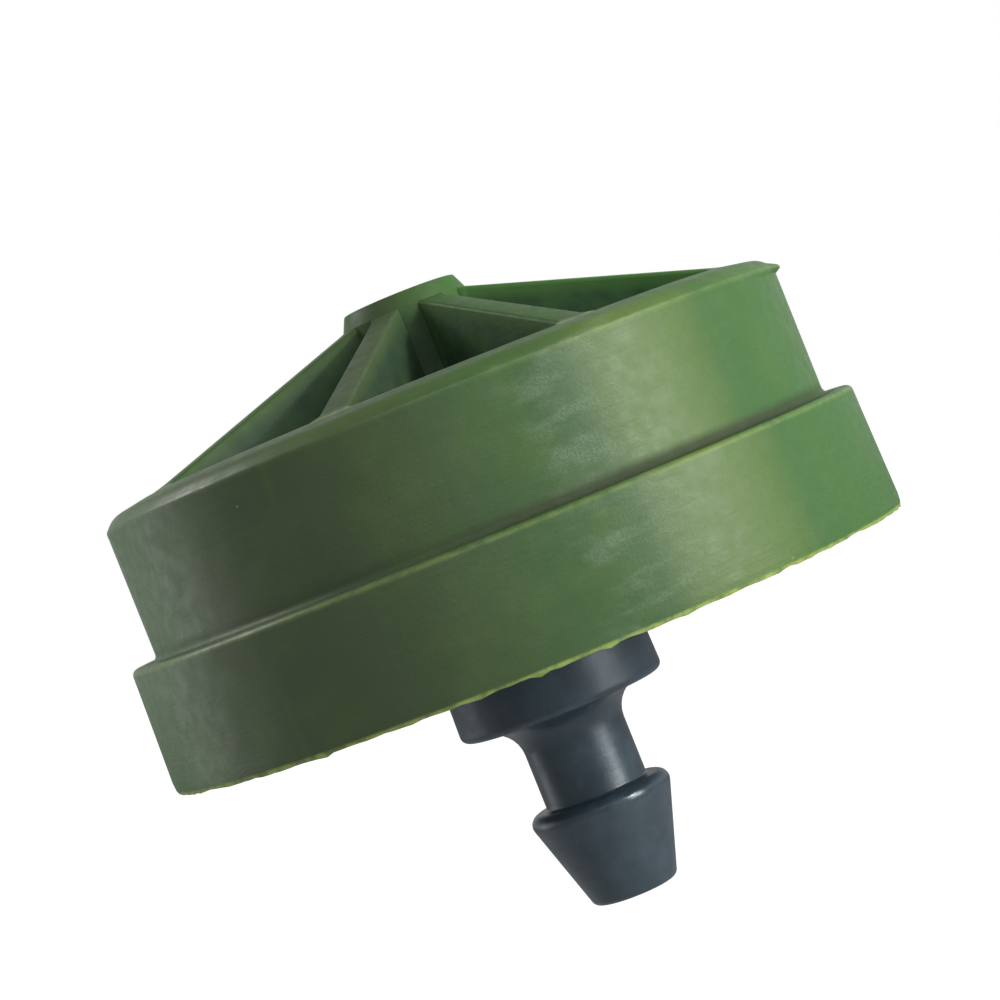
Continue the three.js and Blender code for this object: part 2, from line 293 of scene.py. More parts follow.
class Finish:
    """A procedural material whose patterns read the piece's own place, in millimetres."""

    def __init__(self, name):
        self.material = bpy.data.materials.new(name)
        self.material.use_nodes = True
        self.tree = self.material.node_tree
        self.tree.nodes.clear()
        self.shader = self.add("ShaderNodeBsdfPrincipled")
        output = self.add("ShaderNodeOutputMaterial")
        self.link(self.shader.outputs["BSDF"], output.inputs["Surface"])
        place = self.add("ShaderNodeTexCoord").outputs["Object"]
        self.place = self.stretched(place, (1 / MM,) * 3)
        split = self.add("ShaderNodeSeparateXYZ")
        self.link(self.place, split.inputs[0])
        self.x, self.y, self.z = split.outputs
        self.radius = self.math("SQRT", self.math("ADD", self.math("MULTIPLY", self.x, self.x),
                                                  self.math("MULTIPLY", self.y, self.y)))

    def add(self, kind, **settings):
        node = self.tree.nodes.new(kind)
        for key, value in settings.items():
            setattr(node, key, value)
        return node

    def link(self, source, target):
        self.tree.links.new(source, target)

    def feed(self, socket, value):
        if isinstance(value, bpy.types.NodeSocket):
            self.link(value, socket)
        else:
            socket.default_value = value

    def stretched(self, vector, scale):
        node = self.add("ShaderNodeMapping")
        self.feed(node.inputs["Vector"], vector)
        node.inputs["Scale"].default_value = scale
        return node.outputs["Vector"]

    def math(self, operation, a, b=0.0):
        node = self.add("ShaderNodeMath", operation=operation)
        self.feed(node.inputs[0], a)
        self.feed(node.inputs[1], b)
        return node.outputs[0]

    def noise(self, scale, detail=3, roughness=0.55, vector=None):
        node = self.add("ShaderNodeTexNoise")
        self.feed(node.inputs["Vector"], vector or self.place)
        node.inputs["Scale"].default_value = scale
        node.inputs["Detail"].default_value = detail
        node.inputs["Roughness"].default_value = roughness
        return node.outputs["Fac"]

    def cells(self, scale):
        node = self.add("ShaderNodeTexVoronoi")
        self.feed(node.inputs["Vector"], self.place)
        node.inputs["Scale"].default_value = scale
        return node.outputs["Distance"]

    def ramp(self, value, low, high, to_low=0.0, to_high=1.0):
        node = self.add("ShaderNodeMapRange", interpolation_type="SMOOTHSTEP")
        for socket, number in zip(node.inputs, (value, low, high, to_low, to_high)):
            self.feed(socket, number)
        return node.outputs["Result"]

    def near(self, value, centre, width):
        """1 where value is at centre, falling to 0 at width from it."""
        gap = self.math("ABSOLUTE", self.math("SUBTRACT", value, centre))
        return self.ramp(gap, 0.0, width, 1.0, 0.0)

    def both(self, *factors):
        product = factors[0]
        for factor in factors[1:]:
            product = self.math("MULTIPLY", product, factor)
        return product

    def either(self, *factors):
        most = factors[0]
        for factor in factors[1:]:
            most = self.math("MAXIMUM", most, factor)
        return most

    def tint(self, factor, below, above):
        node = self.add("ShaderNodeMix", data_type="RGBA")
        self.feed(node.inputs["Factor"], factor)
        for socket, shade in ((node.inputs["A"], below), (node.inputs["B"], above)):
            self.feed(socket, shade if isinstance(shade, bpy.types.NodeSocket) else (*shade, 1))
        return node.outputs["Result"]

    def bump(self, height, depth_mm, below=None):
        node = self.add("ShaderNodeBump")
        self.feed(node.inputs["Height"], height)
        node.inputs["Distance"].default_value = depth_mm * MM
        node.inputs["Strength"].default_value = 1.0
        if below is not None:
            self.link(below, node.inputs["Normal"])
        return node.outputs["Normal"]

    def set(self, name, value):
        self.feed(self.shader.inputs[name], value)


def side(finish, azimuth, spread):
    """1 on surfaces lying towards an azimuth (from -Y, towards +X), fading over spread."""
    across = finish.math("ADD", finish.math("MULTIPLY", finish.x, math.sin(azimuth)),
                         finish.math("MULTIPLY", finish.y, -math.cos(azimuth)))
    facing = finish.math("DIVIDE", across, finish.math("MAXIMUM", finish.radius, 0.1))
    return finish.ramp(facing, math.cos(spread), 1.0)


def scaled(shade, share):
    return tuple(channel * share for channel in shade)


# Where the cover's marks start and end, as radii and heights in millimetres
OUTSIDE = (10.4, 10.7)  # on the rim's flat top, beyond which is the cover's outer face
INSIDE = (9.2, 9.3, 9.6)  # up to the pockets' outer wall
LEDGE_TREAD = (11.3, 11.5, 11.6, 11.75)  # the ledge's flat part, and its rounded edge
SKIRT_FACE = (11.5, 11.7)
POCKET_DEPTHS = (7.2, 7.4)  # just under the pockets' floor, which leaves out the cover's inside
DUST = (0.6, 0.62, 0.55)  # colour of the specks of dust


def cover_finish(colours, sizes, azimuth):
    f = Finish("cover_green")
    lines = f.stretched(f.place, (0.25, 0.25, 9.0))
    runs = f.stretched(f.place, (1.4, 1.4, 0.16))
    smears = f.stretched(f.place, (0.55, 0.55, 1.5))
    ledge, rim = sizes.ledge_height / MM, sizes.rim_height / MM
    brow, skirt_low = rim - sizes.shoulder / MM, COVER_LOW.z / MM
    outside = f.ramp(f.radius, *OUTSIDE)

    # Painted shade: the cover's side left of the camera is tinted a duller grey-green, where less light
    # falls.
    skin = f.tint(side(f, azimuth - math.radians(38), math.radians(50)), colours.cover,
                  colours.cover_grey_and_shade)
    # Painted light: the sides right and left of the camera are tinted a purer, lighter green, where the
    # lights fall on them.
    skin = f.tint(side(f, azimuth + math.radians(80), math.radians(55)), skin, colours.cover_side_light)
    skin = f.tint(f.both(side(f, azimuth - math.radians(90), math.radians(48)), 0.75), skin,
                  colours.cover_side_light)
    # Yellower flow marks at random, plus a painted highlight: a pale band on the outer face about 32
    # degrees right of the camera.
    flow = f.either(f.both(f.ramp(f.noise(0.45, 4), 0.42, 0.75), 0.25),
                    f.both(f.ramp(f.noise(1.0, 3, vector=runs), 0.5, 0.8), 0.25),
                    f.both(side(f, azimuth + math.radians(32), math.radians(15)), outside, 0.8))
    skin = f.tint(flow, skin, colours.cover_pale_and_light)
    mottle = f.ramp(f.noise(4.0, 5, 0.7), 0.35, 0.65)
    skin = f.tint(f.both(mottle, 0.16), skin, colours.cover_grey_and_shade)

    rub_side = f.either(side(f, azimuth + math.radians(22), math.radians(17)), 0.1)
    speckle = f.ramp(f.noise(11.0, 4, 0.75), 0.38, 0.62, 0.45, 1.0)
    smear = f.ramp(f.noise(1.1, 6, 0.55, smears), 0.46, 0.74)
    hairs = f.both(f.ramp(f.noise(1.2, 4, 0.7, lines), 0.6, 0.78), f.ramp(f.noise(0.8, 2), 0.45, 0.6))
    rubs = f.both(f.either(f.both(smear, speckle), f.both(hairs, 0.5)), rub_side, outside)
    skin = f.tint(f.both(rubs, 0.24), skin, colours.scuff)

    # Painted light: the upward-facing shoulder over the brow is tinted paler, as if lit from above.
    lit_shoulder_mask = f.both(f.ramp(f.z, brow + 0.08, brow + 0.2), outside)
    skin = f.tint(f.both(lit_shoulder_mask, 0.2), skin, colours.cover_pale_and_light)

    slope = rib_slope(sizes)
    rib_top = f.math("SUBTRACT", (sizes.hub_neck_height + slope * sizes.hub_neck_radius) / MM,
                     f.math("MULTIPLY", f.radius, slope))
    # Painted shade: the pockets are darkened deeper below the ribs' tops, inside the rim's wall.
    recess_shade_mask = f.both(f.ramp(f.math("SUBTRACT", rib_top, f.z), 0.12, 0.6),
                  f.ramp(f.radius, INSIDE[1], INSIDE[2], 1.0, 0.0), f.ramp(f.z, *POCKET_DEPTHS))
    skin = f.tint(f.both(recess_shade_mask, f.ramp(f.noise(1.3, 4), 0.3, 0.7, 0.4, 0.8)), skin, colours.pocket_shade)

    # Painted shade: the crease where the ring meets the ledge is darkened, most on the side right of the
    # camera; the same mask makes it rougher.
    corner = f.both(f.ramp(f.z, ledge + 0.14, ledge + 0.5, 1.0, 0.0), f.ramp(f.z, ledge - 0.03, ledge),
                    f.ramp(f.radius, LEDGE_TREAD[0], LEDGE_TREAD[1], 1.0, 0.0), outside)
    ledge_shade_mask = f.either(side(f, azimuth + math.radians(35), math.radians(60)), 0.3)
    ledge_shade_mask = f.both(corner, ledge_shade_mask, 0.9)
    skin = f.tint(ledge_shade_mask, skin, colours.crease_shade)

    chatter = f.ramp(f.noise(2.6, 4, 0.6), 0.3, 0.62, 0.3, 1.0)
    # Painted highlights: pale lines along the ledge's rounded edge, the rim's inner edge and the
    # shoulder's lower edge, the last strongest right of the camera.
    ledge_highlight = f.both(f.near(f.z, ledge - 0.1, 0.13),
                        f.ramp(f.radius, LEDGE_TREAD[2], LEDGE_TREAD[3]), 0.22)
    rim_highlight = f.both(f.near(f.z, rim, 0.16), f.near(f.radius, sizes.rim_inner_radius / MM + 0.05, 0.2))
    brow_highlight = f.both(f.near(f.z, brow + 0.02, 0.16), outside,
                        f.either(side(f, azimuth + math.radians(45), math.radians(60)), 0.4))
    edges = f.either(ledge_highlight, f.both(rim_highlight, 0.5), f.both(brow_highlight, 0.13))
    skin = f.tint(f.both(edges, chatter), skin, colours.flash)
    low_edge = f.both(f.ramp(f.z, skirt_low, skirt_low + 0.09, 1.0, 0.0),
                      f.ramp(f.radius, *SKIRT_FACE))
    skin = f.tint(f.both(low_edge, chatter, 0.8), skin, colours.flash)

    dust = f.both(f.ramp(f.cells(0.5), 0.02, 0.035, 1.0, 0.0), f.ramp(f.noise(0.3, 1), 0.54, 0.6))
    skin = f.tint(f.both(dust, 0.2), skin, DUST)
    f.set("Base Color", skin)

    gloss = f.ramp(f.noise(2.2, 4), 0.3, 0.7, 0.36, 0.48)
    f.set("Roughness", f.math("ADD", gloss, f.math("ADD", f.both(rubs, 0.15), f.both(ledge_shade_mask, 0.35))))
    f.set("Specular IOR Level", f.ramp(f.radius, INSIDE[0], INSIDE[2], 0.1, 0.3))
    f.set("Subsurface Weight", 0.1)
    f.set("Subsurface Radius", (0.9, 1.1, 0.4))
    f.set("Subsurface Scale", 0.5 * MM)
    sag = f.bump(f.noise(0.3, 2), 0.08)
    grain = f.bump(f.noise(9.0, 3, 0.6), 0.006, sag)
    ripple = f.bump(f.noise(1.0, 5, 0.7, lines), 0.008, grain)
    f.set("Normal", f.bump(rubs, 0.01, ripple))
    return f.material


# The barb's edge is glossiest at one spot: how far right of the camera, how far to its sides,
# and between which millimetres below the barb's shoulder the gloss comes in and goes
POLISH_TURN, POLISH_SPREAD = math.radians(31), math.radians(16)
POLISH_IN, POLISH_OUT = (0.04, 0.14), (0.44, 0.5)
FLANGE_EDGE = (-0.2, 0.1)  # millimetres, above which the base is duller
# Colours of what age has left on them
BASE_WEAR, INSERT_STAIN, SILICONE_BLOOM = (0.2, 0.24, 0.28), (0.45, 0.38, 0.24), (0.7, 0.7, 0.66)


def base_finish(colours, sizes, azimuth):
    f = Finish("base_black")
    lines = f.stretched(f.place, (0.3, 0.3, 10.0))
    cloud = f.ramp(f.noise(0.9, 4), 0.35, 0.7)
    rubs = f.both(f.ramp(f.noise(1.6, 6, 0.6), 0.48, 0.75),
                  f.ramp(f.noise(9.0, 3, 0.7), 0.35, 0.7, 0.4, 1.0))
    streaks = f.both(f.ramp(f.noise(1.5, 4, 0.7, lines), 0.55, 0.8), 0.5)
    worn = f.either(rubs, streaks)
    skin = f.tint(cloud, colours.base, scaled(colours.base, 1.5))
    f.set("Base Color", f.tint(f.both(worn, 0.08), skin, BASE_WEAR))
    barb_top = sizes.barb_top / MM
    below = f.math("SUBTRACT", barb_top, f.z)
    polished = f.both(f.ramp(below, *POLISH_IN), f.ramp(below, *POLISH_OUT, 1.0, 0.0),
                      side(f, azimuth + POLISH_TURN, POLISH_SPREAD))
    handled = f.ramp(f.z, *FLANGE_EDGE)
    gloss = f.math("ADD", f.ramp(f.noise(1.5, 4), 0.3, 0.7, 0.3, 0.38), f.both(worn, 0.06))
    gloss = f.math("ADD", gloss, f.both(handled, 0.1))
    f.set("Roughness", f.math("SUBTRACT", gloss, f.both(polished, 0.17)))
    f.set("Specular IOR Level", 0.6)
    f.set("Specular Tint", (0.88, 0.96, 1.0, 1))
    sag = f.bump(f.noise(0.5, 2), 0.04)
    grain = f.bump(f.noise(10.0, 3, 0.6), 0.004, sag)
    f.set("Normal", f.bump(f.noise(1.0, 5, 0.7, lines), 0.004, grain))
    return f.material


def insert_finish(colours):
    f = Finish("insert_acetal")
    cloud = f.ramp(f.noise(0.6, 4), 0.35, 0.7)
    stain = f.ramp(f.noise(0.9, 5, 0.65), 0.55, 0.75, 0.0, 0.35)
    skin = f.tint(cloud, colours.insert, scaled(colours.insert, 0.9))
    f.set("Base Color", f.tint(stain, skin, INSERT_STAIN))
    f.set("Roughness", f.ramp(f.noise(2.0, 4), 0.3, 0.7, 0.3, 0.48))
    f.set("Subsurface Weight", 0.15)
    f.set("Subsurface Radius", (1.0, 0.9, 0.7))
    f.set("Subsurface Scale", 0.5 * MM)
    f.set("Normal", f.bump(f.noise(8.0, 3), 0.005, f.bump(f.noise(0.5, 2), 0.03)))
    return f.material


def silicone_finish(colours):
    f = Finish("diaphragm_silicone")
    cloud = f.ramp(f.noise(0.7, 4), 0.35, 0.7)
    bloom = f.both(f.ramp(f.noise(2.4, 5, 0.65), 0.5, 0.72), 0.3)
    skin = f.tint(cloud, colours.silicone, scaled(colours.silicone, 0.86))
    f.set("Base Color", f.tint(bloom, skin, SILICONE_BLOOM))
    f.set("Roughness", f.ramp(f.noise(3.0, 4), 0.3, 0.7, 0.36, 0.6))
    f.set("Subsurface Weight", 0.4)
    f.set("Subsurface Radius", (1.0, 0.95, 0.85))
    f.set("Subsurface Scale", 0.7 * MM)
    f.set("Normal", f.bump(f.noise(12.0, 3), 0.004, f.bump(f.noise(0.4, 2), 0.05)))
    return f.material


# ---- Cover ---------------------------------------------------------------------------------

RIB_INNER, RIB_OUTER = 1.4 * MM, 10.0 * MM  # the rib's ends, inside the hub and inside the rim
RIB_ROOT = 0.3 * MM  # how far a rib reaches down into the pockets' floor
RIB_ROUNDING = 0.11 * MM  # of the long edges along a rib's top
RIB_TAPER = 0.86  # thickness at the hub end, as a share of the rim end's
RIB_DRAFT = 0.9  # thickness along the top, as a share of the foot's
RIM_FLARE = {0.0: 1.6, 0.08: 1.3, 0.18: 1.12, 0.32: 1.02}  # widening by distance from the rim, mm
HUB_FLARE = {0.0: 1.2, 0.12: 1.08, 0.26: 1.0}  # widening by distance from the hub, mm
FOOT_FLARE = {0.0: 1.6, 0.08: 1.3, 0.18: 1.12, 0.32: 1.02}  # widening by height over the floor, mm
FLASH_FIN = 0.045  # millimetres that the skirt's flash hangs below its edge
# Nibs on that flash: degrees right of the camera, and drop in millimetres
SKIRT_NIBS = ((-33, 0.04), (-0.6, 0.07), (8.7, 0.05), (40, 0.04), (118, 0.06), (205, 0.05))
NIB_REACH = 0.15 * MM
LIP_SPREADS = (24, 15, 9, 5)  # degrees each side of the lip's middle, one for each step outwards
LIP_STEP, LIP_HALF = 0.05 * MM, 0.12 * MM  # each step, and half the lip's thickness
# Inside of the cover, in millimetres
WEB = 0.34  # from the regulating seat's face up to the underside of the cover's top
SEAT_RADIUS, CHAMBER_RADIUS = 1.7, 8.5
SPIGOT_ROOM = 1.0  # width of the groove that takes the base's spigot
RIM_STOP = 4.9  # height of the step over the base's rim
# The bar that cuts the regulating notch
NOTCH_PLACE = 1.2 * MM
NOTCH_SIZE = (1.8 * MM, 0.3 * MM, 0.24 * MM)


def in_mm(corners):
    return [(x * MM, z * MM, rounding * MM) for x, z, rounding in corners]


def seat_height():
    """Height of the regulating seat, just over the diaphragm at the top of its travel."""
    return DISC_HIGH.z + DISC_TRAVEL + SEAT_GAP


def cover_profile(sizes):
    """Outline of the cover from the skirt's edge up, over the hub and back through the inside."""
    bottom, top = COVER_LOW.z / MM, (COVER_HIGH.z - HAIR) / MM
    skirt = (COVER_HIGH.x - HAIR) / MM
    bore = BASE_HIGH.x / MM + SNAP_PLAY
    seat = seat_height() / MM
    web = seat + WEB
    clamp = (INSERT_HIGH.z + SEAT_GAP) / MM
    clamp_out = INSERT_HIGH.x / MM - 0.1
    room_out = clamp_out + SPIGOT_ROOM
    ring, rim = sizes.ring_radius / MM, sizes.rim_height / MM
    brow = rim - sizes.shoulder / MM
    ledge, floor = sizes.ledge_height / MM, sizes.pocket_floor / MM
    return rounded(in_mm([
        (bore + 0.08, bottom, 0.04),
        (skirt - 0.16, bottom, 0.02),
        (skirt - 0.13, bottom - FLASH_FIN, 0),
        (skirt - 0.06, bottom - FLASH_FIN, 0),
        (skirt - 0.02, bottom + 0.05, 0.03),
        (skirt, bottom + 0.3, 0),
        (sizes.skirt_top_radius / MM, ledge, 0.2),
        (ring, ledge, 0.22),
        (ring, brow - 0.8, 0),
        (ring, brow - 0.22, 0),
        (ring, brow - 0.16, 0),
        (ring + 0.01, brow + 0.04, 0.16),
        (ring - 0.33, rim - 0.2, 0.7),
        (sizes.rim_inner_radius / MM, rim, 0.12),
        (sizes.rim_inner_radius / MM - 0.17, floor, 0.4),
        (sizes.hub_foot_radius / MM, floor, 0.35),
        (sizes.hub_neck_radius / MM, sizes.hub_neck_height / MM, 0.1),
        (sizes.hub_top_radius / MM, top, 0.05),
        (sizes.outlet_radius / MM, top, 0.1),
        (sizes.outlet_radius / MM, seat, 0.06),
        (SEAT_RADIUS, seat, 0.05),
        (SEAT_RADIUS, web, 0.08),
        (CHAMBER_RADIUS, web, 0.15),
        (CHAMBER_RADIUS, clamp, 0.06),
        (clamp_out, clamp, 0.06),
        (clamp_out, web, 0.1),
        (room_out, web, 0.1),
        (room_out, RIM_STOP, 0.08),
        (bore, RIM_STOP, 0.15),
        (bore, SNAP_HEIGHT + SNAP_HALF, 0),
        (bore + SNAP_GROOVE, SNAP_HEIGHT, 0.05),
        (bore, SNAP_HEIGHT - SNAP_HALF, 0),
    ]))


def rib_slope(sizes):
    """Fall of the ribs' tops from the hub to the rim, per unit of radius."""
    fall = sizes.hub_neck_height - sizes.rim_height
    return fall / (sizes.rim_inner_radius - sizes.hub_neck_radius)


def cover_rib(sizes):
    """One rib along +X: a drafted, tapered wedge whose foot and ends flare into their neighbours."""
    inner, outer = RIB_INNER, RIB_OUTER
    foot = sizes.pocket_floor - RIB_ROOT
    slope = rib_slope(sizes)
    high = sizes.hub_neck_height + slope * (sizes.hub_neck_radius - inner)
    low = high - slope * (outer - inner)
    clear_selection()
    bpy.ops.mesh.primitive_cube_add(size=1, location=((inner + outer) / 2, 0, (foot + high) / 2),
                                    scale=(outer - inner, sizes.rib_thickness, high - foot))
    rib = named("rib")
    edit()

    def widen(spread, test):
        pick(rib, "vertices", test)
        bpy.ops.transform.resize(value=(1, spread, 1), center_override=(0, 0, 0))

    pick(rib, "vertices", lambda v: v.co.x > outer - WELD and v.co.z > high - WELD)
    bpy.ops.transform.translate(value=(0, 0, low - high))
    widen(RIB_TAPER, lambda v: v.co.x < inner + WELD)
    widen(RIB_DRAFT, lambda v: v.co.z > foot + WELD)
    spreads = {("x", outer): RIM_FLARE[0.0], ("z", foot): FOOT_FLARE[0.0]}
    for inset, spread in RIM_FLARE.items():
        spreads["x", sizes.rim_inner_radius - inset * MM] = spread
    for inset, spread in HUB_FLARE.items():
        spreads["x", sizes.hub_neck_radius + inset * MM] = spread
    for rise, spread in FOOT_FLARE.items():
        spreads["z", sizes.pocket_floor + rise * MM] = spread
    axes = {"x": Vector((1, 0, 0)), "z": Vector((0, 0, 1))}
    for axis, place in spreads:
        bpy.ops.mesh.select_all(action="SELECT")
        bpy.ops.mesh.bisect(plane_co=axes[axis] * place, plane_no=axes[axis])
    for (axis, place), spread in spreads.items():
        widen(spread, lambda v: abs(v.co.dot(axes[axis]) - place) < WELD)

    def along_top(e):
        a, b = (rib.data.vertices[i].co for i in e.vertices)
        on_top = all(abs(high - slope * (v.x - inner) - v.z) < 10 * WELD for v in (a, b))
        return on_top and abs(a.x - b.x) > WELD and a.y * b.y > 0

    pick(rib, "edges", along_top)
    bpy.ops.mesh.bevel(offset=RIB_ROUNDING, segments=3, profile=0.5)
    bpy.ops.object.mode_set(mode="OBJECT")
    return rib


def rough_skirt_edge(piece, azimuth):
    """Wavy flash along the skirt's lower edge, with a few larger nibs."""
    bottom = COVER_LOW.z
    middle = COVER_HIGH.x - 0.1 * MM
    make_active(piece)
    fin = piece.vertex_groups.new(name="flash")
    fin.add([v.index for v in piece.data.vertices if v.co.z < bottom - WELD], 1.0, "REPLACE")
    waves = bpy.data.textures.new("flash_waves", "CLOUDS")
    waves.noise_scale, waves.noise_depth = 0.7 * MM, 2
    waves.contrast = 1.6
    bpy.ops.object.modifier_add(type="DISPLACE")
    wavy = piece.modifiers[-1]
    wavy.texture, wavy.texture_coords, wavy.direction = waves, "LOCAL", "Z"
    wavy.vertex_group, wavy.mid_level, wavy.strength = "flash", 0.4, -0.1 * MM
    bpy.ops.object.modifier_apply(modifier=wavy.name)
    piece.vertex_groups.clear()
    edit()
    for degrees, drop in SKIRT_NIBS:
        spot = azimuth + math.radians(degrees)
        centre = Vector((math.sin(spot), -math.cos(spot))) * middle
        pick(piece, "vertices", lambda v: (v.co.z < bottom - WELD
                                           and (v.co.xy - centre).length < NIB_REACH))
        bpy.ops.transform.translate(value=(0, 0, -drop * MM))
    bpy.ops.object.mode_set(mode="OBJECT")


def raise_flash_lip(piece, sizes, azimuth):
    """A lip of flash on the shoulder's lower edge, a quarter turn right of the camera."""
    make_active(piece)
    edit()
    spot = azimuth + math.radians(90)
    outward = Vector((math.sin(spot), -math.cos(spot)))
    brow = sizes.rim_height - sizes.shoulder
    for spread in LIP_SPREADS:
        reach = math.cos(math.radians(spread))
        pick(piece, "vertices", lambda v: (abs(v.co.z - brow) < LIP_HALF
                                           and v.co.xy.length > OUTSIDE[0] * MM
                                           and v.co.xy.normalized().dot(outward) > reach))
        bpy.ops.transform.translate(value=(outward.x * LIP_STEP, outward.y * LIP_STEP, 0))
    bpy.ops.object.mode_set(mode="OBJECT")


def regulating_notch():
    """A short bar across the regulating seat, to be cut away."""
    clear_selection()
    bpy.ops.mesh.primitive_cube_add(size=1, location=(NOTCH_PLACE, 0, seat_height()), scale=NOTCH_SIZE)
    bar = named("notch_tool")
    edit("EDGE")
    bpy.ops.mesh.select_all(action="SELECT")
    bpy.ops.mesh.bevel(offset=0.05 * MM, segments=2)
    bpy.ops.object.mode_set(mode="OBJECT")
    return bar


class DRIPPER_OT_cover(bpy.types.Operator):
    """Builds the cover: skirt, ring, pockets, ribs, hub and regulating seat"""
    bl_idname = "dripper.cover"
    bl_label = "Cover"

    def execute(self, context):
        scene = context.scene
        sizes, azimuth = scene.dripper_cover, scene.dripper_stage.azimuth
        cover = turned("cover_shell", cover_profile(sizes))
        raise_flash_lip(cover, sizes, azimuth)
        rough_skirt_edge(cover, azimuth)
        ribs = copied_round(cover_rib(sizes), sizes.rib_count)
        apply_boolean(cover, ribs, "UNION")
        apply_boolean(cover, regulating_notch(), "DIFFERENCE")
        material = cover_finish(scene.dripper_colours, sizes, azimuth)
        finish_piece(cover, material, "cover", "cover_plastic", "cover")
        return {"FINISHED"}


# ---- Inlet base ----------------------------------------------------------------------------

# Outline of the base, in millimetres
BEAD_RISE = 0.11  # of the snap bead over the rim
GROOVE_IN, GROOVE_OUT, GROOVE_DEPTH = 5, 9, 0.3  # the coring groove in the underside
GROOVE_DRAFT = 0.1
RIM_TOP, SPIGOT_WALL = 4.85, 0.7
POOL_RADIUS, POOL_DEPTH = 2.2, 0.4  # the pool over the inlet bore
# Ejector marks
MARK_PLACE, MARK_RADIUS, MARK_DEPTH, MARK_CHAMFER = 9.9 * MM, 0.6 * MM, 0.06 * MM, 0.03 * MM
MARK_COUNT = 4


def base_profile(sizes):
    """Outline of the base from the inlet bore down to the barb's tip, and back up round the rim."""
    tip, top = (BASE_LOW.z + HAIR) / MM, BASE_HIGH.z / MM
    bead = BASE_HIGH.x / MM
    rim = bead - BEAD_RISE
    bore, stem = sizes.bore_radius / MM, sizes.stem_radius / MM
    flange, under, floor = sizes.flange_radius / MM, sizes.underside / MM, sizes.floor / MM
    spigot_bore = INSERT_HIGH.x / MM + 0.1
    return rounded(in_mm([
        (bore, tip, 0.12),
        (sizes.tip_radius / MM, tip, 0.24),
        (sizes.barb_corner_radius / MM, sizes.barb_top / MM, sizes.barb_rounding / MM),
        (stem, sizes.barb_top / MM, 0.1),
        (stem, 0, sizes.stem_fillet / MM),
        (flange, 0, 0.24),
        (flange - 0.06, under, 0.2),
        (GROOVE_IN, under, 0.08),
        (GROOVE_IN + GROOVE_DRAFT, under + GROOVE_DEPTH, 0.1),
        (GROOVE_OUT - GROOVE_DRAFT, under + GROOVE_DEPTH, 0.1),
        (GROOVE_OUT, under, 0.08),
        (rim, under, 0.18),
        (rim, SNAP_HEIGHT - SNAP_HALF, 0),
        (bead, SNAP_HEIGHT, 0.06),
        (rim, SNAP_HEIGHT + SNAP_HALF, 0),
        (rim, RIM_TOP, 0.1),
        (spigot_bore + SPIGOT_WALL, RIM_TOP, 0.08),
        (spigot_bore + SPIGOT_WALL, top, 0.14),
        (spigot_bore, top, 0.1),
        (spigot_bore, floor, 0.12),
        (POOL_RADIUS, floor, 0.06),
        (POOL_RADIUS, floor - POOL_DEPTH, 0.1),
        (bore, floor - POOL_DEPTH, 0.06),
    ]))


def ejector_marks(sizes):
    """Shallow round dimples, to be cut in the base's underside."""
    clear_selection()
    bpy.ops.mesh.primitive_cylinder_add(vertices=48, radius=MARK_RADIUS, depth=2 * MARK_DEPTH,
                                        location=(MARK_PLACE, 0, sizes.underside))
    mark = named("ejector_tool")
    edit("EDGE")
    bpy.ops.mesh.select_all(action="SELECT")
    bpy.ops.mesh.bevel(offset=MARK_CHAMFER, segments=1)
    bpy.ops.object.mode_set(mode="OBJECT")
    return copied_round(mark, MARK_COUNT)


class DRIPPER_OT_base(bpy.types.Operator):
    """Builds the inlet base: barb, stem, flange, floor and spigot"""
    bl_idname = "dripper.base"
    bl_label = "Inlet base"

    def execute(self, context):
        scene = context.scene
        sizes, azimuth = scene.dripper_base, scene.dripper_stage.azimuth
        base = turned("base_body", base_profile(sizes))
        apply_boolean(base, ejector_marks(sizes), "DIFFERENCE")
        material = base_finish(scene.dripper_colours, sizes, azimuth)
        finish_piece(base, material, "base", "base_plastic", "inlet_base")
        return {"FINISHED"}


# ---- Flow-path insert and diaphragm --------------------------------------------------------

BAR_OVERLAP = 0.8  # of a bar's width, by which it is longer than its stretch of channel
LABYRINTH_LEGS = 24
LABYRINTH_SWEEP = math.radians(320)
LABYRINTH_INNER, LABYRINTH_OUTER = 5.6 * MM, 7.1 * MM
CHANNEL_WIDTH, CHANNEL_DEPTH = 0.55 * MM, 0.55 * MM
GALLERY_RADIUS = 3.85 * MM
FILTER_SLOTS, SLOT_WIDTH = 12, 0.35 * MM
PORT_PLACE, PORT_RADIUS = 8.15 * MM, 0.3 * MM
LAND_RADIUS, LAND_RISE = 6.8 * MM, 0.3 * MM  # the land that the diaphragm rests on
SUMP_IN, SUMP_OUT = 2.2 * MM, 2.3 * MM  # the narrow ring groove over the pool's edge
DISC_RING_IN, DISC_RING_OUT, DISC_RING_DEPTH = 6.0 * MM, 6.3 * MM, 0.06 * MM
DISC_MIDDLE = 0.4 * MM  # radius of the small hole that is closed flat in the diaphragm's faces


def spoke(radius, turn):
    return Vector((radius * math.cos(turn), radius * math.sin(turn)))


def channel_bar(start, end, width):
    """A straight bar from start to end under the insert, to cut one stretch of channel."""
    run = end - start
    middle = (start + end) / 2
    clear_selection()
    bpy.ops.mesh.primitive_cube_add(size=1, location=(middle.x, middle.y, INSERT_LOW.z),
                                    rotation=(0, 0, math.atan2(run.y, run.x)),
                                    scale=(run.length + width * BAR_OVERLAP, width, 2 * CHANNEL_DEPTH))
    return named("channel_tool")


def cut_each(piece, tools):
    for tool in tools:
        apply_boolean(piece, tool, "DIFFERENCE")


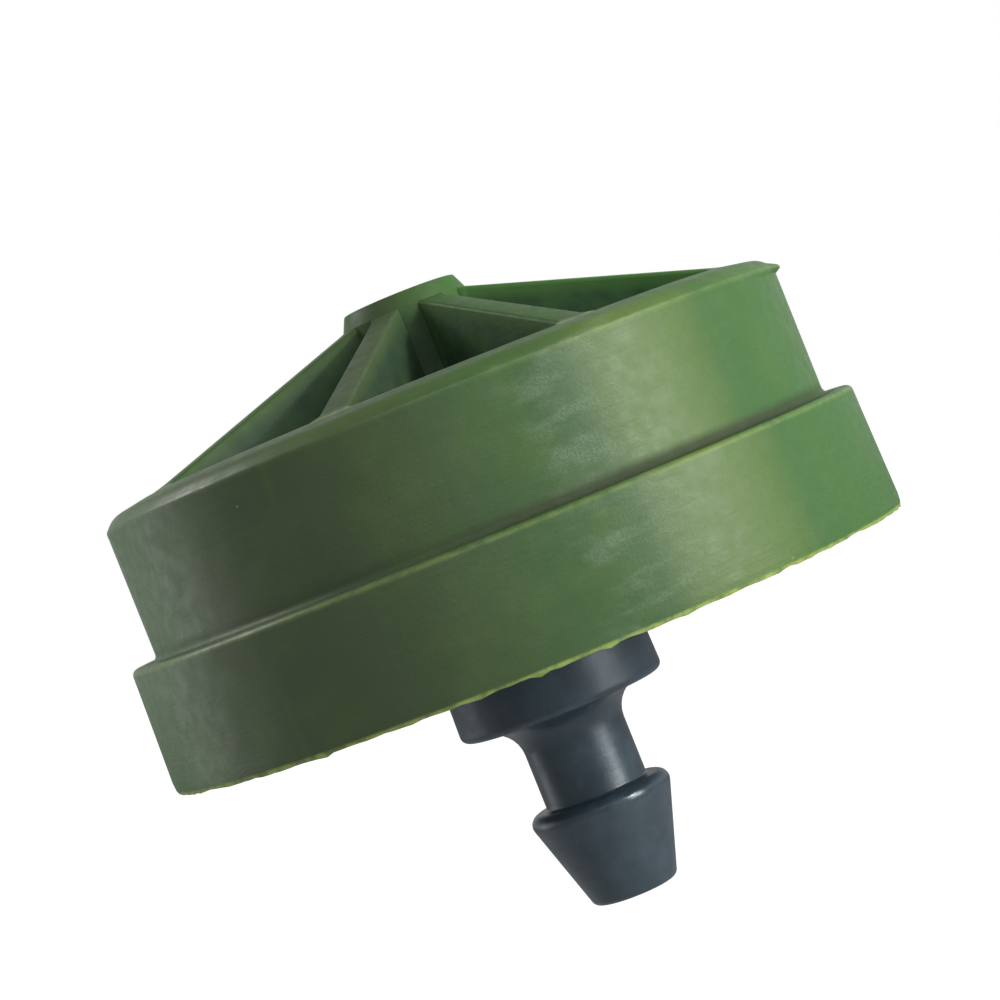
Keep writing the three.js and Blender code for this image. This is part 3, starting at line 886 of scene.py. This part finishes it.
class DRIPPER_OT_insert(bpy.types.Operator):
    """Builds the flow-path insert with its filter slots, labyrinth and port"""
    bl_idname = "dripper.insert"
    bl_label = "Flow-path insert"

    def execute(self, context):
        bore = context.scene.dripper_base.bore_radius
        bottom, top, edge = INSERT_LOW.z, INSERT_HIGH.z, INSERT_HIGH.x
        insert = turned("insert_disc", rounded([
            (bore, bottom, 0.08 * MM),
            (SUMP_IN, bottom, 0),
            (SUMP_IN, bottom + CHANNEL_DEPTH, 0),
            (SUMP_OUT, bottom + CHANNEL_DEPTH, 0),
            (SUMP_OUT, bottom, 0),
            (edge, bottom, 0.1 * MM),
            (edge, top, 0.12 * MM),
            (LAND_RADIUS, top, 0.05 * MM),
            (LAND_RADIUS - 0.05 * MM, top - LAND_RISE, 0.08 * MM),
            (bore, top - LAND_RISE, 0.1 * MM),
        ]))
        step = LABYRINTH_SWEEP / LABYRINTH_LEGS
        path = [spoke(GALLERY_RADIUS, 0)]
        path += [spoke((LABYRINTH_INNER, LABYRINTH_OUTER)[i % 2], i * step)
                 for i in range(LABYRINTH_LEGS + 1)]
        path.append(spoke(PORT_PLACE, LABYRINTH_SWEEP))
        cut_each(insert, [channel_bar(a, b, CHANNEL_WIDTH) for a, b in zip(path, path[1:])])
        slots = [math.tau * (i + 0.5) / FILTER_SLOTS for i in range(FILTER_SLOTS)]
        cut_each(insert, [channel_bar(spoke(bore, turn), spoke(GALLERY_RADIUS, turn), SLOT_WIDTH)
                          for turn in slots])
        clear_selection()
        port = spoke(PORT_PLACE, LABYRINTH_SWEEP)
        bpy.ops.mesh.primitive_cylinder_add(vertices=32, radius=PORT_RADIUS, depth=4 * MM,
                                            location=(port.x, port.y, top))
        apply_boolean(insert, named("port_tool"), "DIFFERENCE")
        finish_piece(insert, insert_finish(context.scene.dripper_colours), "base", "insert_plastic",
                     "flow_path_insert")
        return {"FINISHED"}


class DRIPPER_OT_diaphragm(bpy.types.Operator):
    """Builds the silicone diaphragm, a soft-edged disc with a faint moulded ring"""
    bl_idname = "dripper.diaphragm"
    bl_label = "Diaphragm"

    def execute(self, context):
        low, high, edge = DISC_LOW.z, DISC_HIGH.z, DISC_HIGH.x
        disc = turned("diaphragm_disc", rounded([
            (DISC_MIDDLE, low, 0),
            (edge, low, 0.2 * MM),
            (edge, high, 0.2 * MM),
            (DISC_RING_OUT, high, 0),
            ((DISC_RING_IN + DISC_RING_OUT) / 2, high - DISC_RING_DEPTH, 0.03 * MM),
            (DISC_RING_IN, high, 0),
            (DISC_MIDDLE, high, 0),
        ]))
        make_active(disc)
        edit("FACE")
        pick(disc, "polygons", lambda f: f.center.xy.length < DISC_MIDDLE + 0.01 * MM)
        bpy.ops.mesh.delete(type="FACE")
        bpy.ops.mesh.select_mode(type="EDGE")
        bpy.ops.mesh.select_non_manifold(extend=False)
        bpy.ops.mesh.fill_holes(sides=0)
        bpy.ops.mesh.select_all(action="SELECT")
        bpy.ops.mesh.normals_make_consistent(inside=False)
        bpy.ops.object.mode_set(mode="OBJECT")
        finish_piece(disc, silicone_finish(context.scene.dripper_colours), "diaphragm", "silicone",
                     "diaphragm")
        return {"FINISHED"}


# ---- Stage ---------------------------------------------------------------------------------

def bearing(azimuth, elevation=0.0):
    """Unit direction from the dripper at an azimuth from -Y towards +X, and an elevation."""
    flat = math.cos(elevation)
    return Vector((math.sin(azimuth) * flat, -math.cos(azimuth) * flat, math.sin(elevation)))


def place_camera(stage):
    skirt = COVER_LOW.z
    back = bearing(stage.azimuth)
    right = Vector((math.cos(stage.azimuth), math.sin(stage.azimuth), 0))
    eye = back * stage.distance + Vector((0, 0, skirt + stage.eye_height))
    aim = right * stage.aim_right + Vector((0, 0, skirt + stage.aim_height))
    clear_selection()
    bpy.ops.object.camera_add(location=eye)
    camera = bpy.context.object
    camera.name = "product_camera"
    away = (eye - aim).normalized()
    up = right * math.sin(stage.lean) + Vector((0, 0, math.cos(stage.lean)))
    across = up.cross(away).normalized()
    camera.rotation_euler = Matrix((across, away.cross(across), away)).transposed().to_euler()
    camera.data.lens = camera.data.sensor_width * (eye - aim).length / stage.frame_width
    camera.data.clip_start, camera.data.clip_end = 1 * MM, 10
    bpy.context.scene.camera = camera


LIGHTS = (  # name, degrees right of the camera, degrees up, diameter in metres, watts
    ("key_low", 57, 5, 0.08, 0.12),
    ("key_under", 57, -12, 0.08, 0.05),
    ("key_high", 69, 35, 0.08, 0.12),
    ("left_back", -112, 40, 0.07, 0.11),
    ("left_low", -112, 3, 0.09, 0.03),
    ("front_top", 0, 30, 0.07, 0.05),
    ("spark", 52, 14, 0.009, 0.07),
)
LIGHT_DISTANCE = 0.16
LIGHT_AIM = 4 * MM  # height over the skirt's lower edge that the lights point at
LOBES = (0.72, 0.5, 0.32, 0.6)  # strength of the surround's light from right, left, front and back
FLOOR_WIDTH = 4  # metres
FLOOR_SEEN, FLOOR_LIT = 1.0, 0.1  # the floor's glow for the camera, and for the dripper
FLOOR_SHADE = 0.4


def soft_light(name, direction, size, watts):
    clear_selection()
    target = Vector((0, 0, COVER_LOW.z + LIGHT_AIM))
    bpy.ops.object.light_add(type="AREA", location=target + direction * LIGHT_DISTANCE)
    light = bpy.context.object
    light.name = name
    light.rotation_euler = direction.to_track_quat("Z", "Y").to_euler()
    light.data.shape, light.data.size = "DISK", size
    light.data.energy = watts


def studio_world(azimuth):
    """A surround seen as plain white, which lights with a soft lobe from each side."""
    world = bpy.data.worlds.new("studio_white")
    bpy.context.scene.world = world
    world.use_nodes = True
    nodes, link = world.node_tree.nodes, world.node_tree.links.new
    nodes.clear()
    place = nodes.new("ShaderNodeTexCoord")
    right = bearing(azimuth + math.pi / 2)
    front = bearing(azimuth)
    total = None
    for direction, strength in zip((right, -right, front, -front), LOBES):
        facing = nodes.new("ShaderNodeVectorMath")
        facing.operation = "DOT_PRODUCT"
        facing.inputs[1].default_value = direction * math.sqrt(strength)
        lobe = nodes.new("ShaderNodeMath")
        lobe.operation = "MAXIMUM"
        squared = nodes.new("ShaderNodeMath")
        squared.operation = "POWER"
        squared.inputs[1].default_value = 2
        lobe.inputs[1].default_value = 0
        link(place.outputs["Generated"], facing.inputs[0])
        link(facing.outputs["Value"], lobe.inputs[0])
        link(lobe.outputs[0], squared.inputs[0])
        if total is None:
            total = squared.outputs[0]
            continue
        added = nodes.new("ShaderNodeMath")
        link(total, added.inputs[0])
        link(squared.outputs[0], added.inputs[1])
        total = added.outputs[0]
    path, output = nodes.new("ShaderNodeLightPath"), nodes.new("ShaderNodeOutputWorld")
    seen, lit = nodes.new("ShaderNodeBackground"), nodes.new("ShaderNodeBackground")
    for background in (seen, lit):
        background.inputs["Color"].default_value = (1, 1, 1, 1)
    mix = nodes.new("ShaderNodeMixShader")
    link(total, lit.inputs["Strength"])
    link(path.outputs["Is Camera Ray"], mix.inputs[0])
    link(lit.outputs[0], mix.inputs[1])
    link(seen.outputs[0], mix.inputs[2])
    link(mix.outputs[0], output.inputs["Surface"])


def lay_floor(stage):
    """A wide pale floor well under the dripper, which meets the white surround where it is seen."""
    clear_selection()
    bpy.ops.mesh.primitive_grid_add(x_subdivisions=8, y_subdivisions=8, size=FLOOR_WIDTH,
                                    location=(0, 0, BASE_LOW.z - stage.floor_drop))
    floor = named("pale_floor")
    paint = bpy.data.materials.new("floor_white")
    paint.use_nodes = True
    tree = paint.node_tree
    shader = tree.nodes["Principled BSDF"]
    shader.inputs["Base Color"].default_value = (FLOOR_SHADE, FLOOR_SHADE, FLOOR_SHADE, 1)
    shader.inputs["Roughness"].default_value = 0.9
    shader.inputs["Specular IOR Level"].default_value = 0.0
    shader.inputs["Emission Color"].default_value = (1, 1, 1, 1)
    path = tree.nodes.new("ShaderNodeLightPath")
    glow = tree.nodes.new("ShaderNodeMapRange")
    glow.inputs["To Min"].default_value = FLOOR_LIT
    glow.inputs["To Max"].default_value = FLOOR_SEEN
    tree.links.new(path.outputs["Is Camera Ray"], glow.inputs["Value"])
    tree.links.new(glow.outputs["Result"], shader.inputs["Emission Strength"])
    floor.data.materials.append(paint)


class DRIPPER_OT_stage(bpy.types.Operator):
    """Sets the camera, the white surround, the soft lights and the floor"""
    bl_idname = "dripper.stage"
    bl_label = "Stage"

    def execute(self, context):
        stage = context.scene.dripper_stage
        context.scene.view_settings.view_transform = "Standard"
        place_camera(stage)
        studio_world(stage.azimuth)
        lay_floor(stage)
        for name, turn, rise, size, watts in LIGHTS:
            direction = bearing(stage.azimuth + math.radians(turn), math.radians(rise))
            soft_light(name, direction, size, watts)
        return {"FINISHED"}


class DRIPPER_PT_panel(bpy.types.Panel):
    """Lists the dripper's sizes, colours and build steps"""
    bl_idname = "DRIPPER_PT_panel"
    bl_label = "Button Dripper"
    bl_space_type = "VIEW_3D"
    bl_region_type = "UI"
    bl_category = "Dripper"

    def draw(self, context):
        for attribute in SETTINGS:
            group = getattr(context.scene, attribute)
            box = self.layout.box()
            for key in group.__annotations__:
                box.prop(group, key)
        for operator in OPERATORS:
            self.layout.operator(operator.bl_idname)


SETTINGS = {
    "dripper_cover": CoverSizes,
    "dripper_base": BaseSizes,
    "dripper_colours": DripperColours,
    "dripper_stage": StageSettings,
}
OPERATORS = (DRIPPER_OT_stage, DRIPPER_OT_base, DRIPPER_OT_insert, DRIPPER_OT_diaphragm, DRIPPER_OT_cover)
CLASSES = (*SETTINGS.values(), *OPERATORS, DRIPPER_PT_panel)


def register():
    for cls in CLASSES:
        bpy.utils.register_class(cls)
    for attribute, group in SETTINGS.items():
        setattr(bpy.types.Scene, attribute, PointerProperty(type=group))


def unregister():
    for attribute in SETTINGS:
        delattr(bpy.types.Scene, attribute)
    for cls in reversed(CLASSES):
        bpy.utils.unregister_class(cls)


def main():
    register()
    bpy.ops.dripper.stage()
    bpy.ops.dripper.base()
    bpy.ops.dripper.insert()
    bpy.ops.dripper.diaphragm()
    bpy.ops.dripper.cover()


if __name__ == "__main__":
    main()
